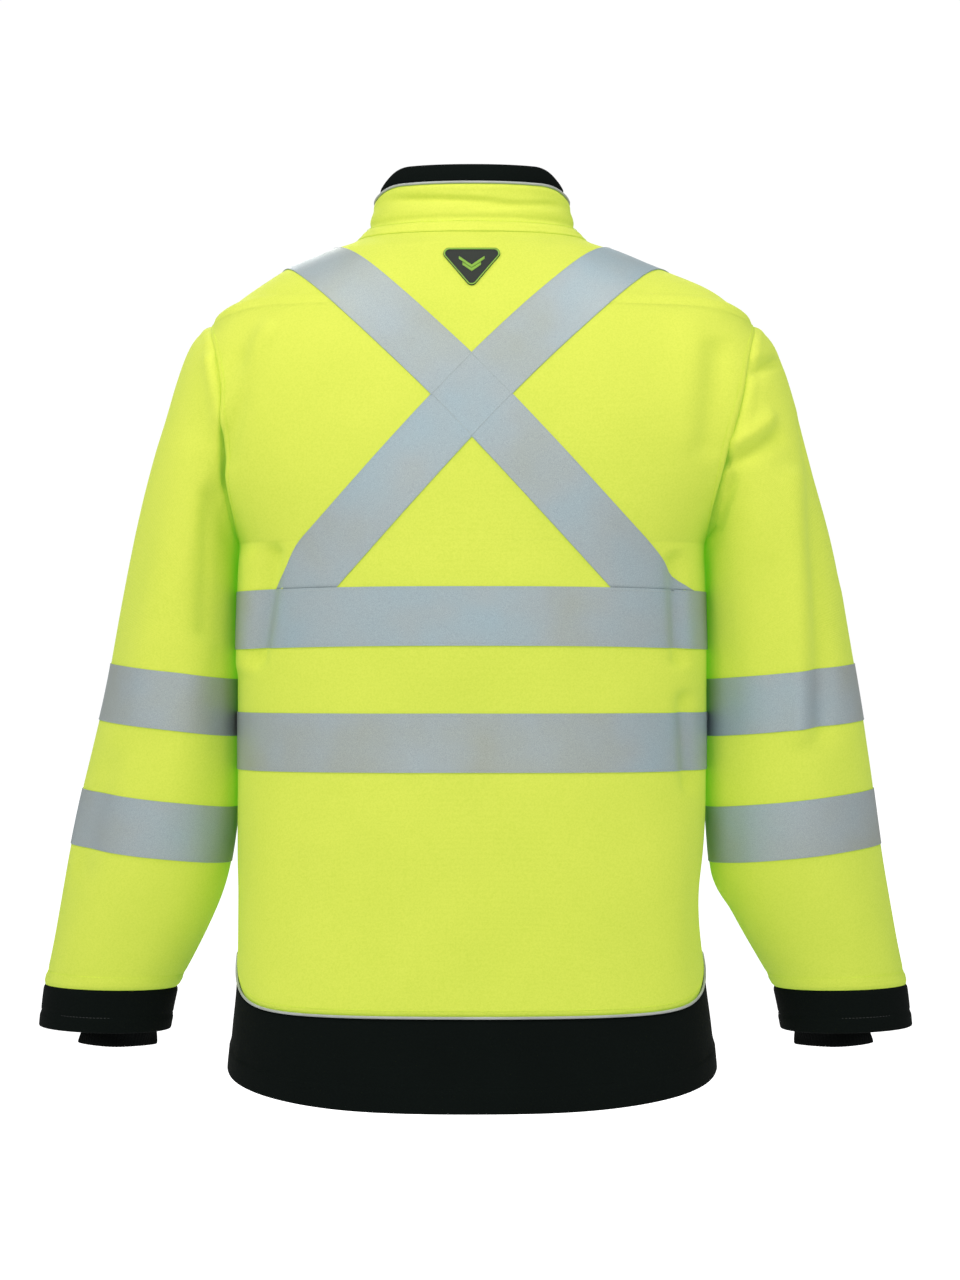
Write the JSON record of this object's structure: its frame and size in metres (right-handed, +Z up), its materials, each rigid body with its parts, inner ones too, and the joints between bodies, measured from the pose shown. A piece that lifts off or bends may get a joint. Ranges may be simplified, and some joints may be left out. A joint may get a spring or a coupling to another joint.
{
  "type": "high-visibility work coat",
  "caption": "Zip-front high-visibility work coat with a stand collar, set-in sleeves that bend at the elbow, crossed and level reflective tapes and zipped hand pockets.",
  "frame": {"origin": "on the coat's centre plane, level with the neck points of the shoulder seams, over the middle of the side seams", "axes": "+Z up, -Y towards the coat's front, +X towards the wearer's left"},
  "size_m": [0.7886, 0.2802, 0.82],
  "materials": {
    "lime_shell": "fluorescent lime softshell, fine weave",
    "black_softshell": "black softshell with a fleece back",
    "black_knit": "ribbed knit",
    "quilted_lining": "quilted polyester",
    "reflective_tape": "silver glass-bead reflective tape",
    "piping_grey": "corded grey reflective piping",
    "zip_black": "black zip tape and moulded teeth",
    "gunmetal": "gunmetal coated zinc",
    "badge_black": "moulded patch with a green border",
    "label_grey": "woven label, blank"
  },
  "bodies": {
    "coat": {"pocket_left_zip": "zip_black", "pocket_left_bag": "black_softshell", "pocket_right_zip": "zip_black", "pocket_right_bag": "black_softshell", "back_panel": "lime_shell", "front_panel_left": "lime_shell", "front_panel_right": "lime_shell", "hem_panel_back": "black_softshell", "hem_piping_back": "piping_grey", "hem_panel_front_left": "black_softshell", "hem_piping_front_left": "piping_grey", "hem_panel_front_right": "black_softshell", "hem_piping_front_right": "piping_grey", "lining_back": "quilted_lining", "lining_front_left": "quilted_lining", "lining_front_right": "quilted_lining", "tape_upper_back": "reflective_tape", "tape_lower_back": "reflective_tape", "tape_upper_front_left": "reflective_tape", "tape_lower_front_left": "reflective_tape", "tape_upper_front_right": "reflective_tape", "tape_lower_front_right": "reflective_tape", "brace_tape_back_left": "reflective_tape", "brace_tape_front_left": "reflective_tape", "brace_tape_back_right": "reflective_tape", "brace_tape_front_right": "reflective_tape", "sleeve_left_upper": "lime_shell", "sleeve_right_upper": "lime_shell", "collar_shell": "lime_shell", "collar_lining": "black_softshell", "collar_roll": "black_softshell", "collar_piping": "piping_grey", "hanger_loop": "black_softshell", "zip_tape_left": "zip_black", "zip_chain_left": "zip_black", "zip_top_stop_left": "gunmetal", "zip_tape_right": "zip_black", "zip_chain_right": "zip_black", "zip_top_stop_right": "gunmetal", "zip_retainer_box": "gunmetal", "storm_flap": "black_softshell", "badge": "badge_black", "neck_label": "label_grey"},
    "forearm_left": {"sleeve_left_lower": "lime_shell", "sleeve_tape_left_upper": "reflective_tape", "sleeve_tape_left_lower": "reflective_tape", "cuff_left": "black_softshell", "knit_cuff_left": "black_knit"},
    "forearm_right": {"sleeve_right_lower": "lime_shell", "sleeve_tape_right_upper": "reflective_tape", "sleeve_tape_right_lower": "reflective_tape", "cuff_right": "black_softshell", "knit_cuff_right": "black_knit"},
    "front_slider": {"zip_slider": "gunmetal"},
    "front_pull": {"zip_pull": "gunmetal"},
    "hand_slider_left": {"pocket_left_slider": "gunmetal"},
    "hand_pull_left": {"pocket_left_pull": "gunmetal"},
    "hand_slider_right": {"pocket_right_slider": "gunmetal"},
    "hand_pull_right": {"pocket_right_pull": "gunmetal"}
  },
  "joints": [
    {"name": "elbow_left", "type": "hinge", "parent": "coat", "child": "forearm_left", "pos_m": [0.27044, -0.00574, -0.36], "axis": [-1, 0, 0], "range_deg": [0, 60]},
    {"name": "elbow_right", "type": "hinge", "parent": "coat", "child": "forearm_right", "pos_m": [-0.27044, -0.00574, -0.36], "axis": [-1, 0, 0], "range_deg": [0, 60]},
    {"name": "front_zip_slide", "type": "slide", "parent": "coat", "child": "front_slider", "axis": [0, -0.0694, -0.9976], "range_m": [0, 0.709]},
    {"name": "front_pull_swing", "type": "hinge", "parent": "front_slider", "child": "front_pull", "pos_m": [0, -0.08929, -0.00552], "axis": [-1, 0, 0], "range_deg": [0, 150]},
    {"name": "hand_zip_slide_left", "type": "slide", "parent": "coat", "child": "hand_slider_left", "axis": [0.1275, 0.0166, -0.9917], "range_m": [0, 0.128]},
    {"name": "hand_pull_swing_left", "type": "hinge", "parent": "hand_slider_left", "child": "hand_pull_left", "pos_m": [0.15059, -0.10471, -0.49819], "axis": [-0.8947, -0.4297, -0.1222], "range_deg": [0, 150]},
    {"name": "hand_zip_slide_right", "type": "slide", "parent": "coat", "child": "hand_slider_right", "axis": [-0.1275, 0.0166, -0.9917], "range_m": [0, 0.128]},
    {"name": "hand_pull_swing_right", "type": "hinge", "parent": "hand_slider_right", "child": "hand_pull_right", "pos_m": [-0.15059, -0.10471, -0.49819], "axis": [-0.8947, 0.4297, 0.1222], "range_deg": [0, 150]}
  ]
}
